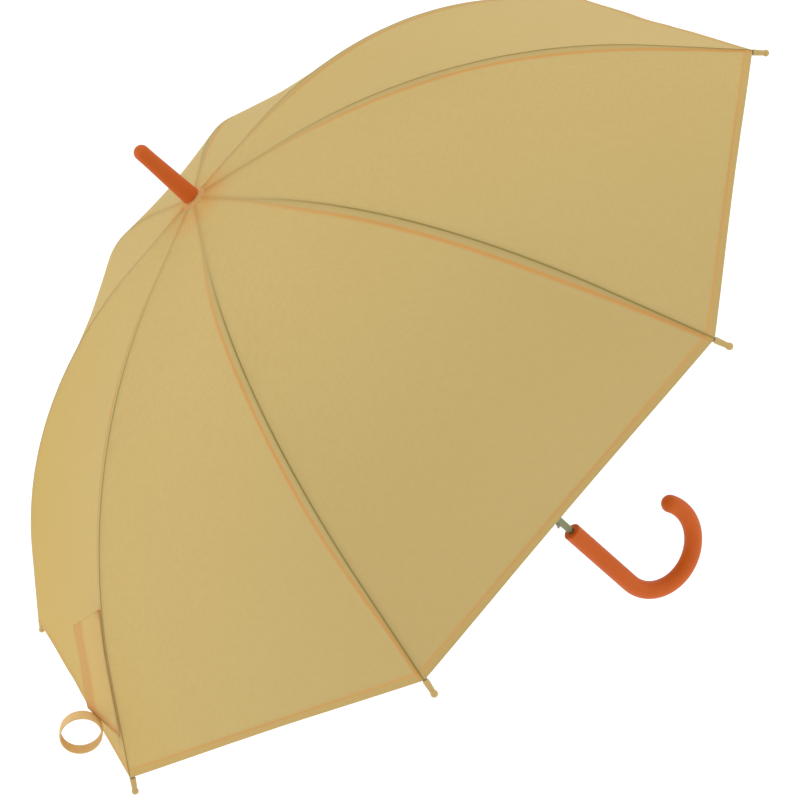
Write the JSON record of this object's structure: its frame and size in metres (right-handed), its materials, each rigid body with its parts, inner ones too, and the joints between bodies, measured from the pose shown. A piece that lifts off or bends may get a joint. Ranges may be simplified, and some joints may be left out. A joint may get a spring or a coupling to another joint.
{
  "type": "children's umbrella",
  "caption": "Open stick umbrella in a child's size with a deep translucent tan canopy, an orange J handle and an orange ferrule; the frame folds along the shaft.",
  "frame": {"origin": "middle of the handle's straight grip, on the axis of the shaft", "axes": "+Z along the shaft from the handle to the ferrule; +X out along rib 1, so the ribs lie at multiples of 45 degrees and the hook of the handle opens along 30 degrees"},
  "size_m": [0.876, 0.876, 0.7285],
  "materials": {
    "shaft_steel": "galvanised steel tube, slightly dull",
    "frame_steel": "fluted plated steel",
    "spool_plastic": "moulded plastic",
    "orange_plastic": "smooth moulded plastic, softly glossy",
    "tip_plastic": "smooth moulded plastic",
    "canopy_cloth": "thin translucent canopy cloth, tan",
    "rosette_cloth": "folded canopy cloth",
    "strap_tape": "woven tape"
  },
  "bodies": {
    "root": {"shaft": "shaft_steel", "top_notch": "spool_plastic", "notch_wire": "frame_steel", "crown_rosette": "rosette_cloth", "ferrule": "orange_plastic", "handle": "orange_plastic"},
    "top_catch": {"top_spring": "frame_steel"},
    "bottom_catch": {"bottom_spring": "frame_steel"},
    "runner": {"runner": "spool_plastic", "runner_wire": "frame_steel"},
    "rib_inner_1": {"rib_inner_1": "frame_steel", "canopy_inner_1": "canopy_cloth"},
    "rib_outer_1": {"rib_outer_1": "frame_steel", "rib_tip_1": "tip_plastic", "canopy_outer_1": "canopy_cloth"},
    "stretcher_1": {"stretcher_1": "frame_steel"},
    "rib_inner_2": {"rib_inner_2": "frame_steel", "canopy_inner_2": "canopy_cloth"},
    "rib_outer_2": {"rib_outer_2": "frame_steel", "rib_tip_2": "tip_plastic", "canopy_outer_2": "canopy_cloth"},
    "stretcher_2": {"stretcher_2": "frame_steel"},
    "rib_inner_3": {"rib_inner_3": "frame_steel", "canopy_inner_3": "canopy_cloth"},
    "rib_outer_3": {"rib_outer_3": "frame_steel", "rib_tip_3": "tip_plastic", "canopy_outer_3": "canopy_cloth"},
    "stretcher_3": {"stretcher_3": "frame_steel"},
    "rib_inner_4": {"rib_inner_4": "frame_steel", "canopy_inner_4": "canopy_cloth"},
    "rib_outer_4": {"rib_outer_4": "frame_steel", "rib_tip_4": "tip_plastic", "canopy_outer_4": "canopy_cloth"},
    "stretcher_4": {"stretcher_4": "frame_steel"},
    "rib_inner_5": {"rib_inner_5": "frame_steel", "canopy_inner_5": "canopy_cloth"},
    "rib_outer_5": {"rib_outer_5": "frame_steel", "rib_tip_5": "tip_plastic", "canopy_outer_5": "canopy_cloth"},
    "stretcher_5": {"stretcher_5": "frame_steel"},
    "rib_inner_6": {"rib_inner_6": "frame_steel", "canopy_inner_6": "canopy_cloth"},
    "rib_outer_6": {"rib_outer_6": "frame_steel", "rib_tip_6": "tip_plastic", "canopy_outer_6": "canopy_cloth", "closure_strap": "strap_tape"},
    "stretcher_6": {"stretcher_6": "frame_steel"},
    "rib_inner_7": {"rib_inner_7": "frame_steel", "canopy_inner_7": "canopy_cloth"},
    "rib_outer_7": {"rib_outer_7": "frame_steel", "rib_tip_7": "tip_plastic", "canopy_outer_7": "canopy_cloth"},
    "stretcher_7": {"stretcher_7": "frame_steel"},
    "rib_inner_8": {"rib_inner_8": "frame_steel", "canopy_inner_8": "canopy_cloth"},
    "rib_outer_8": {"rib_outer_8": "frame_steel", "rib_tip_8": "tip_plastic", "canopy_outer_8": "canopy_cloth"},
    "stretcher_8": {"stretcher_8": "frame_steel"}
  },
  "joints": [
    {"name": "canopy_fold", "type": "hinge", "parent": "root", "child": "rib_inner_1", "pos_m": [0.009, 0, 0.5544], "axis": [0, 1, 0], "range_deg": [0, 72.82], "deforming": ["canopy_inner_1", "canopy_inner_2", "canopy_inner_3", "canopy_inner_4", "canopy_inner_5", "canopy_inner_6", "canopy_inner_7", "canopy_inner_8", "canopy_outer_1", "canopy_outer_2", "canopy_outer_3", "canopy_outer_4", "canopy_outer_5", "canopy_outer_6", "canopy_outer_7", "canopy_outer_8", "closure_strap", "top_spring", "bottom_spring"]},
    {"name": "rib_outer_1_spread", "type": "hinge", "parent": "rib_inner_1", "child": "rib_outer_1", "pos_m": [0.21957, 0, 0.50118], "axis": [0, 1, 0], "range_deg": [-21, 0]},
    {"name": "stretcher_1_turn", "type": "hinge", "parent": "rib_inner_1", "child": "stretcher_1", "pos_m": [0.21957, 0, 0.50118], "axis": [0, 1, 0], "range_deg": [-145.64, 0]},
    {"name": "rib_inner_2_fold", "type": "hinge", "parent": "root", "child": "rib_inner_2", "pos_m": [0.00636, 0.00636, 0.5544], "axis": [-0.7071, 0.7071, 0], "range_deg": [0, 72.82]},
    {"name": "rib_outer_2_spread", "type": "hinge", "parent": "rib_inner_2", "child": "rib_outer_2", "pos_m": [0.15526, 0.15526, 0.50118], "axis": [-0.7071, 0.7071, 0], "range_deg": [-21, 0]},
    {"name": "stretcher_2_turn", "type": "hinge", "parent": "rib_inner_2", "child": "stretcher_2", "pos_m": [0.15526, 0.15526, 0.50118], "axis": [-0.7071, 0.7071, 0], "range_deg": [-145.64, 0]},
    {"name": "rib_inner_3_fold", "type": "hinge", "parent": "root", "child": "rib_inner_3", "pos_m": [0, 0.009, 0.5544], "axis": [-1, 0, 0], "range_deg": [0, 72.82]},
    {"name": "rib_outer_3_spread", "type": "hinge", "parent": "rib_inner_3", "child": "rib_outer_3", "pos_m": [0, 0.21957, 0.50118], "axis": [-1, 0, 0], "range_deg": [-21, 0]},
    {"name": "stretcher_3_turn", "type": "hinge", "parent": "rib_inner_3", "child": "stretcher_3", "pos_m": [0, 0.21957, 0.50118], "axis": [-1, 0, 0], "range_deg": [-145.64, 0]},
    {"name": "rib_inner_4_fold", "type": "hinge", "parent": "root", "child": "rib_inner_4", "pos_m": [-0.00636, 0.00636, 0.5544], "axis": [-0.7071, -0.7071, 0], "range_deg": [0, 72.82]},
    {"name": "rib_outer_4_spread", "type": "hinge", "parent": "rib_inner_4", "child": "rib_outer_4", "pos_m": [-0.15526, 0.15526, 0.50118], "axis": [-0.7071, -0.7071, 0], "range_deg": [-21, 0]},
    {"name": "stretcher_4_turn", "type": "hinge", "parent": "rib_inner_4", "child": "stretcher_4", "pos_m": [-0.15526, 0.15526, 0.50118], "axis": [-0.7071, -0.7071, 0], "range_deg": [-145.64, 0]},
    {"name": "rib_inner_5_fold", "type": "hinge", "parent": "root", "child": "rib_inner_5", "pos_m": [-0.009, 0, 0.5544], "axis": [0, -1, 0], "range_deg": [0, 72.82]},
    {"name": "rib_outer_5_spread", "type": "hinge", "parent": "rib_inner_5", "child": "rib_outer_5", "pos_m": [-0.21957, 0, 0.50118], "axis": [0, -1, 0], "range_deg": [-21, 0]},
    {"name": "stretcher_5_turn", "type": "hinge", "parent": "rib_inner_5", "child": "stretcher_5", "pos_m": [-0.21957, 0, 0.50118], "axis": [0, -1, 0], "range_deg": [-145.64, 0]},
    {"name": "rib_inner_6_fold", "type": "hinge", "parent": "root", "child": "rib_inner_6", "pos_m": [-0.00636, -0.00636, 0.5544], "axis": [0.7071, -0.7071, 0], "range_deg": [0, 72.82]},
    {"name": "rib_outer_6_spread", "type": "hinge", "parent": "rib_inner_6", "child": "rib_outer_6", "pos_m": [-0.15526, -0.15526, 0.50118], "axis": [0.7071, -0.7071, 0], "range_deg": [-21, 0]},
    {"name": "stretcher_6_turn", "type": "hinge", "parent": "rib_inner_6", "child": "stretcher_6", "pos_m": [-0.15526, -0.15526, 0.50118], "axis": [0.7071, -0.7071, 0], "range_deg": [-145.64, 0]},
    {"name": "rib_inner_7_fold", "type": "hinge", "parent": "root", "child": "rib_inner_7", "pos_m": [0, -0.009, 0.5544], "axis": [1, 0, 0], "range_deg": [0, 72.82]},
    {"name": "rib_outer_7_spread", "type": "hinge", "parent": "rib_inner_7", "child": "rib_outer_7", "pos_m": [0, -0.21957, 0.50118], "axis": [1, 0, 0], "range_deg": [-21, 0]},
    {"name": "stretcher_7_turn", "type": "hinge", "parent": "rib_inner_7", "child": "stretcher_7", "pos_m": [0, -0.21957, 0.50118], "axis": [1, 0, 0], "range_deg": [-145.64, 0]},
    {"name": "rib_inner_8_fold", "type": "hinge", "parent": "root", "child": "rib_inner_8", "pos_m": [0.00636, -0.00636, 0.5544], "axis": [0.7071, 0.7071, 0], "range_deg": [0, 72.82]},
    {"name": "rib_outer_8_spread", "type": "hinge", "parent": "rib_inner_8", "child": "rib_outer_8", "pos_m": [0.15526, -0.15526, 0.50118], "axis": [0.7071, 0.7071, 0], "range_deg": [-21, 0]},
    {"name": "stretcher_8_turn", "type": "hinge", "parent": "rib_inner_8", "child": "stretcher_8", "pos_m": [0.15526, -0.15526, 0.50118], "axis": [0.7071, 0.7071, 0], "range_deg": [-145.64, 0]},
    {"name": "runner_turn", "type": "hinge", "parent": "stretcher_1", "child": "runner", "pos_m": [0.009, 0, 0.44797], "axis": [0, 1, 0], "range_deg": [0, 72.82]},
    {"name": "top_catch_press", "type": "slide", "parent": "root", "child": "top_catch", "axis": [-0.866, -0.5, 0], "range_m": [-0.0036, 0], "stiffness_N_per_m": 400},
    {"name": "bottom_catch_press", "type": "slide", "parent": "root", "child": "bottom_catch", "axis": [-0.866, -0.5, 0], "range_m": [-0.0036, 0], "stiffness_N_per_m": 400}
  ],
  "couplings": [
    {"joint": "rib_outer_1_spread", "follows": "canopy_fold", "ratio": -0.28839},
    {"joint": "stretcher_1_turn", "follows": "canopy_fold", "ratio": -2},
    {"joint": "rib_inner_2_fold", "follows": "canopy_fold", "ratio": 1},
    {"joint": "rib_outer_2_spread", "follows": "canopy_fold", "ratio": -0.28839},
    {"joint": "stretcher_2_turn", "follows": "canopy_fold", "ratio": -2},
    {"joint": "rib_inner_3_fold", "follows": "canopy_fold", "ratio": 1},
    {"joint": "rib_outer_3_spread", "follows": "canopy_fold", "ratio": -0.28839},
    {"joint": "stretcher_3_turn", "follows": "canopy_fold", "ratio": -2},
    {"joint": "rib_inner_4_fold", "follows": "canopy_fold", "ratio": 1},
    {"joint": "rib_outer_4_spread", "follows": "canopy_fold", "ratio": -0.28839},
    {"joint": "stretcher_4_turn", "follows": "canopy_fold", "ratio": -2},
    {"joint": "rib_inner_5_fold", "follows": "canopy_fold", "ratio": 1},
    {"joint": "rib_outer_5_spread", "follows": "canopy_fold", "ratio": -0.28839},
    {"joint": "stretcher_5_turn", "follows": "canopy_fold", "ratio": -2},
    {"joint": "rib_inner_6_fold", "follows": "canopy_fold", "ratio": 1},
    {"joint": "rib_outer_6_spread", "follows": "canopy_fold", "ratio": -0.28839},
    {"joint": "stretcher_6_turn", "follows": "canopy_fold", "ratio": -2},
    {"joint": "rib_inner_7_fold", "follows": "canopy_fold", "ratio": 1},
    {"joint": "rib_outer_7_spread", "follows": "canopy_fold", "ratio": -0.28839},
    {"joint": "stretcher_7_turn", "follows": "canopy_fold", "ratio": -2},
    {"joint": "rib_inner_8_fold", "follows": "canopy_fold", "ratio": 1},
    {"joint": "rib_outer_8_spread", "follows": "canopy_fold", "ratio": -0.28839},
    {"joint": "stretcher_8_turn", "follows": "canopy_fold", "ratio": -2},
    {"joint": "runner_turn", "follows": "canopy_fold", "ratio": 1}
  ]
}
